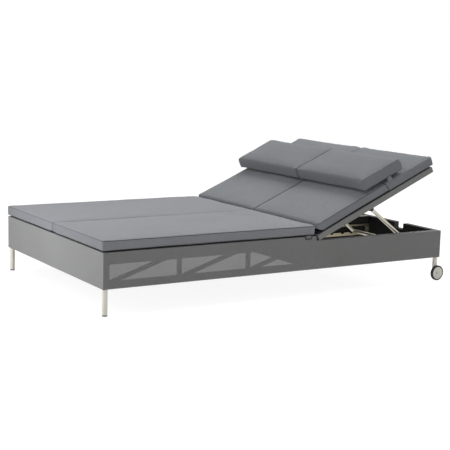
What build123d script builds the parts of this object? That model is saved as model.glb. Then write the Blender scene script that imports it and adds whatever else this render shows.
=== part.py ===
import os
from math import asin, atan2, cos, degrees, radians, sin, sqrt

from build123d import *

os.makedirs("parts", exist_ok=True)

# Overall sizes of the lounger, in millimetres
LENGTH = 2080.0
WIDTH = 1230.0
FOOT_LENGTH = 1217.0
FRAME_TOP = 305.0
FRAME_BOTTOM = 130.0
HEAD_STEP = 24.0
CENTRE_GAP = 10.0

# Frame of square tube, clad in woven mesh
TUBE = 30.0
RAIL_DEPTH = 55.0
MESH = 2.0
SKIN_GAP = 0.3
LINER = 2.0
POST_WIDTH = 26.0
STEP_ROUND = 10.0
STEP_HOLLOW = 8.0
BRACE_WIDTH = 22.0
BRACE_REACH_SHARE = 0.79
BRACE_DROP_SHARE = 0.25
FOOT_BAYS = 3

# Finger notches in the head end, one for each half
NOTCH_Y = 294.0
NOTCH_WIDTH = 78.0
NOTCH_DEPTH = 35.0
NOTCH_ROUND = 7.0

# Legs at the foot end, wheels at the head end
LEG_RADIUS = 13.0
GLIDE_HEIGHT = 6.0
GLIDE_ROUND = 2.0
WHEEL_RADIUS = 42.0
TYRE_DEPTH = 8.0
WHEEL_WIDTH = 15.0
TYRE_ROUND = 3.0
HUB_RADIUS = 11.0
DISC_RIM = 4.0
DISC_DISH = 2.5
AXLE_RADIUS = 4.0
AXLE_HEAD_RADIUS = 7.0
AXLE_HEAD = 4.0
AXLE_RUN = 0.1
WHEEL_GAP = 1.5
LEG_BELOW_AXLE = 15.0

# Decks under the cushions
SEAT_RISE = 10.0
BACK_RISE = 8.0
DECK_INSET = 12.0
DECK_BAND = 25.0
SLING = 3.0
BACK_DECK_SHORT = 35.0
BACK_DECK_START = 4.0

# Backrests and their hinges
REST_TILT = 23.65
FLAT_GAP = 1.0
HINGE_SETBACK = 23.0
BACK_LENGTH = 822.0
BAR_ROUND = 4.0
BAR_START = 8.0
BAR_END_ROUND = 5.0
HINGE_PIN_RADIUS = 5.0
HINGE_PIN_DEPTH = 24.0
HINGE_PIN_HEAD = 3.0
PIN_RUN = 0.1
HINGE_HEAD_RADIUS = 8.0
EAR = 4.0
EAR_RADIUS = 12.0
EAR_TOP_SHARE = 0.7
BOSS_REACH_SHARE = 0.8
EAR_PLATE_WIDTH = 28.0
EAR_PLATE_DROP = 40.0
BOSS_RADIUS = 9.0

# Support bows, which hinge below the backrests and rest in notched plates
BOW_ALONG = 398.0
BOW_DROP = 40.0
BOW_ARM = 362.0
BOW_HEIGHT = 203.0
BOW_RADIUS = 10.0
BOW_FROM_SIDE = 31.0
EYE_RADIUS = 11.0
EYE_THICKNESS = 9.0
EYE_NECK = 13.0
EYE_TAPER = 26.0
EYE_ROUND = 3.0
BOW_PIN_RADIUS = 4.0
BOW_PIN_HEAD_RADIUS = 6.0
BOW_PIN_HEAD = 2.0
TAB = 3.5
TAB_RADIUS = 14.0
TAB_GAP = 1.0
TAB_BASE = 30.0
RAISE = 16.35
BOW_TURN_SHARE = 2.27
PATH_STEPS = 40

# Notched plates in which the bows' cross bars travel
PLATE = 3.0
PLATE_STAND = 8.0
PLATE_LEAD = 133.0
PLATE_EDGE_TOP = 9.0
PLATE_EDGE_BOTTOM = 19.0
PLATE_ROUND = 4.0
SLOT_ROUND = 7.0
SLOT_END = 4.0
TOOTH_DEPTH = 8.0
TOOTH_WIDTH = 22.0
TOOTH_ROUND = 7.2
CLEAR = 0.5
STUB = 4.0
BOLT_RADIUS = 3.0
BOLT_HEAD_RADIUS = 5.5
BOLT_HEAD = 3.5
SPACER_RADIUS = 7.0
BOLT_INSET = 15.0
BOLT_RISE = 12.0
BOLT_PITCH = 24.0
NOTCHED_TILTS = (0.0, 12.0, 23.65, 32.0, 40.0)

# Cushions
CUSHION = 50.0
SEAT_INSET = 2.0
BACK_INSET = 3.5
CUSHION_BULGE = 1.5
CUSHION_DRAW = 5.0
CUSHION_CROWN = 7.0
CUSHION_END_CROWN = 3.0
SEAT_CUSHION_SHORT = 6.0
SEAT_END_ROUND = 11.0
BACK_START_ROUND = 20.0
CUSHION_END_ROUND = 9.0
CORNER_ROUND = 12.0
STATION_SHARES = (0, 0.5, 1)
BACK_CUSHION_START = 6.0
BACK_CUSHION_LENGTH = 839.5
BACK_END_SLOPE = 22.0
SOFT_GAP = 0.3
PILLOW_START = 360.0
PILLOW_END = 636.0
PILLOW_SEAM = 94.0
PILLOW_TOP = 157.0
PILLOW_CROWN = 8.0
PILLOW_END_SAG = 1.0
PILLOW_END_CROWN = 2.0
PILLOW_PUFF = 5.0
PILLOW_DRAW = 4.0
HOOD = 1.2
HOOD_START = 520.0
HOOD_SLANT = 24.0
TAB_WIDTH = 44.0
TAB_LENGTH = 24.0
TAB_THICKNESS = 1.6
TAB_ROUND = 6.0
TAB_FROM_STEP = 50.0
OVERRUN = 5.0

# Places worked out from the sizes above
CLAD = MESH + SKIN_GAP
FOLD = TUBE + SKIN_GAP
LEG_INSET = MESH + TUBE / 2
WHEEL_OVERHANG = WHEEL_RADIUS - LEG_INSET
FOOT_X = -(LENGTH + WHEEL_OVERHANG) / 2
HEAD_X = FOOT_X + LENGTH
STEP_X = FOOT_X + FOOT_LENGTH
SIDE_Y = WIDTH / 2
FOOT_IN = FOOT_X + CLAD + TUBE
HEAD_IN = HEAD_X - CLAD - TUBE
SIDE_IN = SIDE_Y - CLAD - TUBE
FOLD_Y = SIDE_IN + FOLD / 2
HEAD_TOP = FRAME_TOP - HEAD_STEP
RAIL_TOP = FRAME_TOP - CLAD
HEAD_RAIL_TOP = HEAD_TOP - CLAD
RAIL_BOTTOM = FRAME_BOTTOM + CLAD
FOOT_CORNER = FOOT_IN - TUBE / 2
HEAD_CORNER = HEAD_IN + TUBE / 2
SIDE_CORNER = SIDE_IN + TUBE / 2
MID_POST = STEP_X - TUBE / 2
FOOT_PITCH = (MID_POST - FOOT_CORNER) / FOOT_BAYS
FOOT_POSTS = [FOOT_CORNER + FOOT_PITCH * i for i in range(1, FOOT_BAYS)]
HINGE_X = STEP_X + HINGE_SETBACK
HINGE_Z = HEAD_TOP + FLAT_GAP + TUBE / 2
HINGE_AXIS = Axis((HINGE_X, 0, HINGE_Z), (0, 1, 0))
BAR_UNDER = HINGE_Z - TUBE / 2
BAR_OVER = HINGE_Z + TUBE / 2
SIDES = {"left": -1, "right": 1}


def bow_pivot(tilt):
    """Place of the bow's upper pivot with the backrest raised by tilt degrees."""
    a = radians(tilt)
    x = HINGE_X + BOW_ALONG * cos(a) + BOW_DROP * sin(a)
    z = HINGE_Z + BOW_ALONG * sin(a) - BOW_DROP * cos(a)
    return x, z


PIVOT_X, PIVOT_Z = bow_pivot(REST_TILT)
BOW_SLOPE = asin((PIVOT_Z - BOW_HEIGHT) / BOW_ARM)


def bow_bar(tilt):
    """Place of the bow's cross bar when the bow turns in step with the backrest."""
    x, z = bow_pivot(tilt)
    slope = BOW_SLOPE + (BOW_TURN_SHARE - 1) * radians(tilt - REST_TILT)
    return x + BOW_ARM * cos(slope), z - BOW_ARM * sin(slope)


TOP_TILT = REST_TILT + RAISE
SLOT_LEFT = bow_bar(TOP_TILT)[0] - BOW_RADIUS - SLOT_END
SLOT_RIGHT = bow_bar(0)[0] + BOW_RADIUS + SLOT_END
BAR_HEIGHTS = [bow_bar(TOP_TILT * i / PATH_STEPS)[1] for i in range(PATH_STEPS + 1)]
SLOT_FLOOR = min(BAR_HEIGHTS) - BOW_RADIUS - CLEAR
SLOT_ROOF = max(BAR_HEIGHTS) + BOW_RADIUS + CLEAR
PLATE_X0 = SLOT_LEFT - PLATE_LEAD
HEAD_POSTS = [PLATE_X0 + BOLT_INSET]


def save(part, name):
    """Label a finished piece and write it to its own file."""
    part.label = name
    export_step(part, f"parts/{name}.step")


def tilted(part):
    """Raise a piece of the backrest from flat to the angle at which it rests."""
    return part.rotate(HINGE_AXIS, -REST_TILT)


def bar_x(x0, x1, y, z0, z1, width=TUBE):
    """A straight bar along the length, from z0 to z1, centred on y."""
    with BuildSketch(Plane.YZ.offset(x0)) as section:
        with Locations((y, (z0 + z1) / 2)):
            Rectangle(width, z1 - z0)
    extrude(section.sketch, amount=x1 - x0)


def bar_y(y0, y1, x, z0, z1):
    """A straight bar across the width, from z0 to z1, centred on x."""
    with BuildSketch(Plane.XZ.offset(-y0)) as section:
        with Locations((x, (z0 + z1) / 2)):
            Rectangle(TUBE, z1 - z0)
    extrude(section.sketch, amount=y0 - y1)


def post(x, y, z0, z1, width=TUBE):
    """An upright post, as deep as the rails that it stands between."""
    with BuildSketch(Plane.XY.offset(z0)) as section:
        with Locations((x, y)):
            Rectangle(width, TUBE)
    extrude(section.sketch, amount=z1 - z0)


def round_bar_x(x0, x1, y):
    """A backrest bar along the length, with the rounded edges of its tube."""
    with BuildSketch(Plane.YZ.offset(x0)) as section:
        with Locations((y, HINGE_Z)):
            RectangleRounded(TUBE, TUBE, BAR_ROUND)
    extrude(section.sketch, amount=x1 - x0)


def round_bar_y(y0, y1, x):
    """A backrest bar across the width, with the rounded edges of its tube."""
    with BuildSketch(Plane.XZ.offset(-y0)) as section:
        with Locations((x, HINGE_Z)):
            RectangleRounded(TUBE, TUBE, BAR_ROUND)
    extrude(section.sketch, amount=y0 - y1)


def rod_y(radius, x, z, y0, y1, mode=Mode.ADD):
    """A round rod or a round hole across the width."""
    with BuildSketch(Plane.XZ.offset(-y0)) as section:
        with Locations((x, z)):
            Circle(radius)
    extrude(section.sketch, amount=y0 - y1, mode=mode)


# Side rails, one set for each long side
for side, sign in SIDES.items():
    with BuildPart() as top_rail:
        bar_x(FOOT_IN, STEP_X, sign * SIDE_CORNER, RAIL_TOP - RAIL_DEPTH, RAIL_TOP)
        step_edge = top_rail.edges().filter_by(Axis.Y).group_by(Axis.X)[-1].sort_by(Axis.Z)[-1]
        fillet(step_edge, STEP_ROUND - CLAD)
    save(top_rail.part, f"{side}_top_rail")

    with BuildPart() as head_rail:
        bar_x(STEP_X, HEAD_IN, sign * SIDE_CORNER, HEAD_RAIL_TOP - RAIL_DEPTH, HEAD_RAIL_TOP)
    save(head_rail.part, f"{side}_head_rail")

    with BuildPart() as bottom_rail:
        bar_x(FOOT_IN, HEAD_IN, sign * SIDE_CORNER, RAIL_BOTTOM, RAIL_BOTTOM + TUBE)
    save(bottom_rail.part, f"{side}_bottom_rail")

# Posts of the two side trusses
END_POST = HEAD_IN - TUBE / 2
with BuildPart() as corner_posts:
    for sign in SIDES.values():
        post(FOOT_CORNER, sign * SIDE_CORNER, RAIL_BOTTOM, RAIL_TOP)
        post(HEAD_CORNER, sign * SIDE_CORNER, RAIL_BOTTOM, HEAD_RAIL_TOP)
save(corner_posts.part, "corner_posts")

with BuildPart() as side_posts:
    for sign in SIDES.values():
        for x in FOOT_POSTS:
            post(x, sign * SIDE_CORNER, RAIL_BOTTOM + TUBE, RAIL_TOP - RAIL_DEPTH, POST_WIDTH)
        post(MID_POST, sign * SIDE_CORNER, RAIL_BOTTOM + TUBE, RAIL_TOP - RAIL_DEPTH)
        for x in HEAD_POSTS + [END_POST]:
            post(x, sign * SIDE_CORNER, RAIL_BOTTOM + TUBE, HEAD_RAIL_TOP - RAIL_DEPTH)
save(side_posts.part, "side_posts")


def brace(sign, x0, x1, z0, z1):
    """A sloping bar in one bay of a truss, from its lower left corner to its top rail."""
    reach = x0 + BRACE_REACH_SHARE * (x1 - x0)
    drop = TUBE * BRACE_DROP_SHARE
    slope = degrees(atan2(z1 - z0 + drop, reach - x0))
    with BuildSketch(Plane.XZ.offset(-(sign * SIDE_CORNER - TUBE / 2))) as section:
        with Locations(Location(((x0 + reach) / 2, (z0 + z1) / 2 - drop, 0), (0, 0, slope))):
            Rectangle(2 * (x1 - x0), BRACE_WIDTH)
        with Locations(((x0 + x1) / 2, (z0 + z1) / 2)):
            Rectangle(x1 - x0, z1 - z0, mode=Mode.INTERSECT)
    extrude(section.sketch, amount=-TUBE)


# Sloping braces, one in each bay
with BuildPart() as side_braces:
    slim = POST_WIDTH / 2
    bay_starts = [FOOT_IN] + [x + slim for x in FOOT_POSTS]
    bay_ends = [x - slim for x in FOOT_POSTS] + [MID_POST - TUBE / 2]
    for sign in SIDES.values():
        for a, b in zip(bay_starts, bay_ends):
            brace(sign, a, b, RAIL_BOTTOM + TUBE, RAIL_TOP - RAIL_DEPTH)
    bay_posts = [MID_POST] + HEAD_POSTS + [END_POST]
    for sign in SIDES.values():
        for a, b in zip(bay_posts, bay_posts[1:]):
            brace(sign, a + TUBE / 2, b - TUBE / 2, RAIL_BOTTOM + TUBE, HEAD_RAIL_TOP - RAIL_DEPTH)
save(side_braces.part, "side_braces")

# End rails
with BuildPart() as foot_top_rail:
    bar_y(-SIDE_IN, SIDE_IN, FOOT_CORNER, RAIL_TOP - RAIL_DEPTH, RAIL_TOP)
save(foot_top_rail.part, "foot_top_rail")

with BuildPart() as end_bottom_rails:
    for x in (FOOT_CORNER, HEAD_CORNER):
        bar_y(-SIDE_IN, SIDE_IN, x, RAIL_BOTTOM, RAIL_BOTTOM + TUBE)
save(end_bottom_rails.part, "end_bottom_rails")


def cut_notches(x0, x1, gap):
    """Cut the two round-cornered notches through a piece of the head end."""
    with BuildSketch(Plane.YZ.offset(x0)) as section:
        for sign in SIDES.values():
            with Locations((sign * NOTCH_Y, HEAD_TOP)):
                RectangleRounded(NOTCH_WIDTH + 2 * gap, 2 * (NOTCH_DEPTH + gap), NOTCH_ROUND)
    extrude(section.sketch, amount=x1 - x0, mode=Mode.SUBTRACT)


with BuildPart() as head_top_rail:
    bar_y(-SIDE_IN, SIDE_IN, HEAD_CORNER, HEAD_RAIL_TOP - RAIL_DEPTH, HEAD_RAIL_TOP)
    cut_notches(HEAD_IN - OVERRUN, HEAD_X, CLAD)
save(head_top_rail.part, "head_top_rail")

# Centre beam, which carries both decks and parts the two head bays
CENTRE_POSTS = [FOOT_IN + TUBE / 2] + FOOT_POSTS + [MID_POST] + HEAD_POSTS + [END_POST]
with BuildPart() as centre_rails:
    bar_x(FOOT_IN, STEP_X, 0, FRAME_TOP - RAIL_DEPTH, FRAME_TOP)
    bar_x(FOOT_IN, HEAD_IN, 0, RAIL_BOTTOM, RAIL_BOTTOM + TUBE)
save(centre_rails.part, "centre_rails")

with BuildPart() as centre_head_rail:
    bar_x(STEP_X, HEAD_IN, 0, HEAD_TOP - RAIL_DEPTH, HEAD_TOP)
save(centre_head_rail.part, "centre_head_rail")

with BuildPart() as centre_posts:
    for x in CENTRE_POSTS:
        top = FRAME_TOP if x < STEP_X else HEAD_TOP
        post(x, 0, RAIL_BOTTOM + TUBE, top - RAIL_DEPTH)
save(centre_posts.part, "centre_posts")

# Cross rails between the side trusses and the centre beam
with BuildPart() as cross_rails:
    for sign in SIDES.values():
        y0, y1 = sorted((sign * TUBE / 2, sign * SIDE_IN))
        bar_y(y0, y1, MID_POST, FRAME_TOP - RAIL_DEPTH, FRAME_TOP)
        bar_y(y0, y1, MID_POST, RAIL_BOTTOM, RAIL_BOTTOM + TUBE)
        for x in FOOT_POSTS:
            bar_y(y0, y1, x, FRAME_TOP - TUBE, FRAME_TOP)
save(cross_rails.part, "cross_rails")


def side_outline(inset):
    """Side view of the base: tall at the foot, one rounded step lower at the head."""
    x0, x1, low = FOOT_X + inset, HEAD_X - inset, FRAME_BOTTOM + inset
    step, tall, short = STEP_X + MESH - inset, FRAME_TOP - inset, HEAD_TOP - inset
    return (step, tall), (step, short), (x0, tall), (x0, low), (x1, low), (x1, short)


# Woven mesh cladding, folded over the rails along its top and bottom edges
for side, sign in SIDES.items():
    with BuildPart() as side_mesh:
        with BuildSketch(Plane.XZ.offset(-sign * SIDE_Y)) as outer:
            shoulder, hollow, *ends = side_outline(0)
            with BuildLine():
                Polyline(shoulder, *ends, hollow, close=True)
            make_face()
            fillet(outer.vertices().sort_by_distance(shoulder)[0], STEP_ROUND)
            fillet(outer.vertices().sort_by_distance(hollow)[0], STEP_HOLLOW)
        extrude(amount=sign * (CLAD + TUBE))
        with BuildSketch(Plane.XZ.offset(-sign * (SIDE_Y - MESH))) as inner:
            shoulder, hollow, *ends = side_outline(MESH)
            with BuildLine():
                Polyline(shoulder, *ends, hollow, close=True)
            make_face()
            fillet(inner.vertices().sort_by_distance(shoulder)[0], STEP_ROUND - MESH)
        extrude(amount=sign * (FOLD + OVERRUN), mode=Mode.SUBTRACT)
        for x0, x1 in ((FOOT_X, FOOT_X + MESH), (HEAD_X - MESH, HEAD_X)):
            with BuildSketch(Plane.XY.offset(FRAME_BOTTOM)):
                with Locations(((x0 + x1) / 2, sign * FOLD_Y)):
                    Rectangle(MESH, FOLD)
            extrude(amount=FRAME_TOP - FRAME_BOTTOM, mode=Mode.SUBTRACT)
    save(side_mesh.part, f"{side}_side_mesh")


def end_mesh(x_out, x_in, top):
    """Mesh cladding of one end, with its folded top and bottom edges."""
    x0, x1 = sorted((x_out, x_in))
    skin = x_out + MESH if x_in > x_out else x_out - MESH
    s0, s1 = sorted((skin, x_in))
    with BuildSketch(Plane.XY.offset(FRAME_BOTTOM)) as section:
        with Locations(((x0 + x1) / 2, 0)):
            Rectangle(x1 - x0, 2 * (SIDE_Y - MESH))
    extrude(section.sketch, amount=top - FRAME_BOTTOM)
    with BuildSketch(Plane.XY.offset(FRAME_BOTTOM + MESH)) as section:
        with Locations(((s0 + s1) / 2, 0)):
            Rectangle(s1 - s0, 2 * SIDE_Y)
    extrude(section.sketch, amount=top - FRAME_BOTTOM - 2 * MESH, mode=Mode.SUBTRACT)
    with BuildSketch(Plane.XY.offset(FRAME_BOTTOM)) as section:
        with GridLocations(0, 2 * FOLD_Y, 1, 2):
            with Locations(((s0 + s1) / 2, 0)):
                Rectangle(s1 - s0, FOLD)
    extrude(section.sketch, amount=top - FRAME_BOTTOM, mode=Mode.SUBTRACT)


with BuildPart() as foot_end_mesh:
    end_mesh(FOOT_X, FOOT_IN, FRAME_TOP)
save(foot_end_mesh.part, "foot_end_mesh")

with BuildPart() as head_end_mesh:
    end_mesh(HEAD_X, HEAD_IN, HEAD_TOP)
    cut_notches(HEAD_IN - OVERRUN, HEAD_X + OVERRUN, 0)
save(head_end_mesh.part, "head_end_mesh")

# Black cloth liners inside the head bays
with BuildPart() as long_liners:
    for sign in SIDES.values():
        bar_x(STEP_X, HEAD_IN, sign * (SIDE_IN - LINER / 2), RAIL_BOTTOM, HEAD_TOP, LINER)
        bar_x(STEP_X, HEAD_IN, sign * (TUBE + LINER) / 2, RAIL_BOTTOM, HEAD_TOP, LINER)
save(long_liners.part, "long_liners")

with BuildPart() as head_liners:
    for sign in SIDES.values():
        y0, y1 = TUBE / 2 + LINER, SIDE_IN - LINER
        with BuildSketch(Plane.YZ.offset(HEAD_IN - LINER)):
            with Locations((sign * (y0 + y1) / 2, (RAIL_BOTTOM + HEAD_TOP) / 2)):
                Rectangle(y1 - y0, HEAD_TOP - RAIL_BOTTOM)
        extrude(amount=LINER)
    cut_notches(HEAD_IN - LINER - OVERRUN, HEAD_IN + OVERRUN, 0)
save(head_liners.part, "head_liners")

with BuildPart() as mid_liners:
    for sign in SIDES.values():
        y0, y1 = TUBE / 2, SIDE_IN
        with BuildSketch(Plane.YZ.offset(STEP_X - TUBE - LINER)):
            with Locations((sign * (y0 + y1) / 2, (RAIL_BOTTOM + FRAME_TOP) / 2)):
                Rectangle(y1 - y0, FRAME_TOP - RAIL_BOTTOM)
        extrude(amount=LINER)
save(mid_liners.part, "mid_liners")

# Legs at the foot end, with glides pressed into their ends
FOOT_LEG_X = FOOT_X + LEG_INSET
HEAD_LEG_X = HEAD_X - LEG_INSET
with BuildPart() as legs:
    with BuildSketch(Plane.XY.offset(GLIDE_HEIGHT)):
        with Locations((FOOT_LEG_X, 0)):
            with GridLocations(0, 2 * SIDE_CORNER, 1, 2):
                Circle(LEG_RADIUS)
    extrude(amount=FRAME_BOTTOM - GLIDE_HEIGHT)
save(legs.part, "legs")

with BuildPart() as leg_glides:
    with BuildSketch(Plane.XY):
        with Locations((FOOT_LEG_X, 0)):
            with GridLocations(0, 2 * SIDE_CORNER, 1, 2):
                Circle(LEG_RADIUS)
    extrude(amount=GLIDE_HEIGHT)
    fillet(leg_glides.edges().filter_by(GeomType.CIRCLE).group_by(Axis.Z)[0], GLIDE_ROUND)
save(leg_glides.part, "leg_glides")

# Wheel legs at the head end, bored for the axles
with BuildPart() as wheel_legs:
    with BuildSketch(Plane.XY.offset(WHEEL_RADIUS - LEG_BELOW_AXLE)):
        with Locations((HEAD_LEG_X, 0)):
            with GridLocations(0, 2 * SIDE_CORNER, 1, 2):
                Circle(LEG_RADIUS)
    extrude(amount=FRAME_BOTTOM - WHEEL_RADIUS + LEG_BELOW_AXLE)
    for sign in SIDES.values():
        y0, y1 = SIDE_CORNER - TUBE, SIDE_CORNER + TUBE
        rod_y(AXLE_RADIUS, HEAD_LEG_X, WHEEL_RADIUS, *sorted((sign * y0, sign * y1)), mode=Mode.SUBTRACT)
save(wheel_legs.part, "wheel_legs")

WHEEL_IN = SIDE_CORNER + LEG_RADIUS + WHEEL_GAP
WHEEL_MID = WHEEL_IN + WHEEL_WIDTH / 2


def about_axle(sign):
    """Plane for a wheel's half section: x outward from the axle, y along it away from the leg."""
    return Plane(origin=(HEAD_LEG_X, sign * WHEEL_MID, WHEEL_RADIUS), x_dir=(1, 0, 0), z_dir=(0, 0, sign))


for side, sign in SIDES.items():
    axle_line = Axis((HEAD_LEG_X, 0, WHEEL_RADIUS), (0, 1, 0))

    with BuildPart() as tyre:
        with BuildSketch(about_axle(sign)) as tyre_section:
            with Locations((WHEEL_RADIUS - TYRE_DEPTH / 2, 0)):
                Rectangle(TYRE_DEPTH, WHEEL_WIDTH)
            fillet(tyre_section.vertices().group_by(Axis.X)[-1], TYRE_ROUND)
        revolve(axis=axle_line)
    save(tyre.part, f"{side}_tyre")

    rim = WHEEL_RADIUS - TYRE_DEPTH
    half = WHEEL_WIDTH / 2
    with BuildPart() as wheel_disc:
        with BuildSketch(about_axle(sign)):
            with BuildLine():
                Polyline(
                    (AXLE_RADIUS + AXLE_RUN, -half),
                    (HUB_RADIUS, -half),
                    (HUB_RADIUS, -half + DISC_DISH),
                    (rim - DISC_RIM, -half + DISC_DISH),
                    (rim - DISC_RIM, -half),
                    (rim, -half),
                    (rim, half),
                    (rim - DISC_RIM, half),
                    (rim - DISC_RIM, half - DISC_DISH / 2),
                    (HUB_RADIUS, half - DISC_DISH),
                    (AXLE_RADIUS + AXLE_RUN, half - DISC_DISH),
                    close=True,
                )
            make_face()
        revolve(axis=axle_line)
    save(wheel_disc.part, f"{side}_wheel_disc")

with BuildPart() as wheel_axles:
    for sign in SIDES.values():
        inner = SIDE_CORNER - LEG_RADIUS
        outer = WHEEL_IN + WHEEL_WIDTH - DISC_DISH + CLEAR
        rod_y(AXLE_RADIUS, HEAD_LEG_X, WHEEL_RADIUS, *sorted((sign * inner, sign * outer)))
        rod_y(AXLE_HEAD_RADIUS, HEAD_LEG_X, WHEEL_RADIUS, *sorted((sign * (inner - AXLE_HEAD), sign * inner)))
        cap = sorted((sign * outer, sign * (outer + DISC_DISH)))
        rod_y(AXLE_HEAD_RADIUS, HEAD_LEG_X, WHEEL_RADIUS, *cap)
save(wheel_axles.part, "wheel_axles")


def deck(x0, x1, y0, y1, z0, rise):
    """A sling stretched over a raised band that runs round its edge."""
    with BuildSketch(Plane.XY.offset(z0)) as section:
        with Locations(((x0 + x1) / 2, (y0 + y1) / 2)):
            Rectangle(x1 - x0, y1 - y0)
    extrude(section.sketch, amount=rise)
    with BuildSketch(Plane.XY.offset(z0)) as section:
        with Locations(((x0 + x1) / 2, (y0 + y1) / 2)):
            Rectangle(x1 - x0 - 2 * DECK_BAND, y1 - y0 - 2 * DECK_BAND)
    extrude(section.sketch, amount=rise - SLING, mode=Mode.SUBTRACT)


# Seat decks
for side, sign in SIDES.items():
    y0, y1 = sorted((sign * CENTRE_GAP / 2, sign * (SIDE_Y - DECK_INSET)))
    with BuildPart() as seat_deck:
        deck(FOOT_X + DECK_INSET, STEP_X - MESH, y0, y1, FRAME_TOP, SEAT_RISE)
    save(seat_deck.part, f"{side}_seat_deck")

# Hinge brackets on the middle cross rail, and the pins that run into the backrest bars
BACK_OUT = SIDE_Y - TUBE / 2
BACK_IN = CENTRE_GAP / 2 + TUBE / 2
BAR_GAP = CLAD
EARS = ((BACK_OUT, -1), (BACK_IN, 1))


def ear_faces(bar_y, inward):
    """Faces of a hinge ear beside a backrest bar: bar's face, ear's near face, ear's far face."""
    face = bar_y + inward * TUBE / 2
    return face, face + inward * BAR_GAP, face + inward * (BAR_GAP + EAR)


with BuildPart() as hinge_brackets:
    for sign in SIDES.values():
        for bar, inward in EARS:
            face, near, far = [sign * y for y in ear_faces(bar, inward)]
            y0, y1 = sorted((near, far))
            with BuildSketch(Plane.XZ.offset(-y0)):
                with BuildLine():
                    Polyline(
                        (HINGE_X, HINGE_Z - EAR_RADIUS),
                        (STEP_X, HINGE_Z - EAR_RADIUS),
                        (STEP_X, HINGE_Z),
                        (HINGE_X - EAR_RADIUS * EAR_TOP_SHARE, HINGE_Z + EAR_RADIUS * EAR_TOP_SHARE),
                        (HINGE_X, HINGE_Z),
                        close=True,
                    )
                make_face()
                with Locations((HINGE_X, HINGE_Z)):
                    Circle(EAR_RADIUS)
            extrude(amount=y0 - y1)
            rod_y(BOSS_RADIUS, HINGE_X, HINGE_Z, *sorted((near, near + (face - near) * BOSS_REACH_SHARE)))
            plate_far = far + sign * inward * EAR_PLATE_WIDTH
            y0, y1 = sorted((near + sign * inward * LINER, plate_far))
            with BuildSketch(Plane.YZ.offset(STEP_X)):
                with Locations(((y0 + y1) / 2, HINGE_Z + EAR_RADIUS / 2 - EAR_PLATE_DROP / 2)):
                    Rectangle(y1 - y0, EAR_PLATE_DROP)
            extrude(amount=EAR)
            hole = sorted((face, far + sign * inward * OVERRUN))
            rod_y(HINGE_PIN_RADIUS, HINGE_X, HINGE_Z, *hole, mode=Mode.SUBTRACT)
save(hinge_brackets.part, "hinge_brackets")

with BuildPart() as hinge_pins:
    for sign in SIDES.values():
        for bar, inward in EARS:
            face, near, far = [sign * y for y in ear_faces(bar, inward)]
            tip = face - sign * inward * HINGE_PIN_DEPTH
            rod_y(HINGE_PIN_RADIUS, HINGE_X, HINGE_Z, *sorted((tip, far)))
            head = far + sign * inward * HINGE_PIN_HEAD
            rod_y(HINGE_HEAD_RADIUS, HINGE_X, HINGE_Z, *sorted((far, head)))
save(hinge_pins.part, "hinge_pins")

# Backrests, drawn flat and then raised
ARM_OUT = SIDE_IN - BOW_FROM_SIDE
ARM_IN = TUBE / 2 + BOW_FROM_SIDE
for side, sign in SIDES.items():
    with BuildPart() as side_bars:
        for bar, inward in EARS:
            round_bar_x(HINGE_X - BAR_START, HINGE_X + BACK_LENGTH, sign * bar)
            face = sign * (bar + inward * TUBE / 2)
            bottom = face - sign * inward * (HINGE_PIN_DEPTH + PIN_RUN)
            hole = sorted((bottom, face))
            rod_y(HINGE_PIN_RADIUS + PIN_RUN, HINGE_X, HINGE_Z, *hole, mode=Mode.SUBTRACT)
        ends = side_bars.edges().filter_by(Axis.Y).group_by(Axis.X)[0]
        fillet(ends, BAR_END_ROUND)
    save(tilted(side_bars.part), f"{side}_back_side_bars")

    inner = sign * (BACK_IN + TUBE / 2)
    outer = sign * (BACK_OUT - TUBE / 2)
    y0, y1 = sorted((inner, outer))
    with BuildPart() as cross_bars:
        for along in (TUBE, BOW_ALONG, BACK_LENGTH - TUBE / 2):
            round_bar_y(y0, y1, HINGE_X + along)
    save(tilted(cross_bars.part), f"{side}_back_cross_bars")

    with BuildPart() as back_deck:
        y2, y3 = sorted((sign * (CENTRE_GAP / 2 + DECK_INSET), sign * (SIDE_Y - DECK_INSET)))
        deck(HINGE_X + BACK_DECK_START, HINGE_X + BACK_LENGTH - BACK_DECK_SHORT, y2, y3, BAR_OVER, BACK_RISE)
    save(tilted(back_deck.part), f"{side}_back_deck")

    # Brackets below the cross bar that carry the bow, and their pins
    pivot = (HINGE_X + BOW_ALONG, HINGE_Z - BOW_DROP)
    tab_in = EYE_THICKNESS / 2 + TAB_GAP
    with BuildPart() as bow_brackets:
        for arm in (sign * ARM_OUT, sign * ARM_IN):
            with BuildSketch(Plane.XY.offset(BAR_UNDER - TAB)):
                with Locations((pivot[0], arm)):
                    Rectangle(TAB_BASE, 2 * (tab_in + TAB) + TAB_BASE / 2)
            extrude(amount=TAB)
            for y in (arm - tab_in - TAB, arm + tab_in):
                with BuildSketch(Plane.XZ.offset(-y)):
                    with Locations((pivot[0], (pivot[1] + BAR_UNDER) / 2)):
                        Rectangle(2 * TAB_RADIUS, BAR_UNDER - pivot[1])
                    with Locations(pivot):
                        Circle(TAB_RADIUS)
                        Circle(BOW_PIN_RADIUS, mode=Mode.SUBTRACT)
                extrude(amount=-TAB)
    with BuildPart() as bow_pins:
        for arm in (sign * ARM_OUT, sign * ARM_IN):
            end = tab_in + TAB
            rod_y(BOW_PIN_RADIUS, *pivot, arm - end, arm + end)
            rod_y(BOW_PIN_HEAD_RADIUS, *pivot, arm - end - BOW_PIN_HEAD, arm - end)
            rod_y(BOW_PIN_HEAD_RADIUS, *pivot, arm + end, arm + end + BOW_PIN_HEAD)
    bracket_set = Compound(children=[*bow_brackets.part.solids(), *bow_pins.part.solids()])
    save(tilted(bracket_set), f"{side}_bow_brackets")

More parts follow.
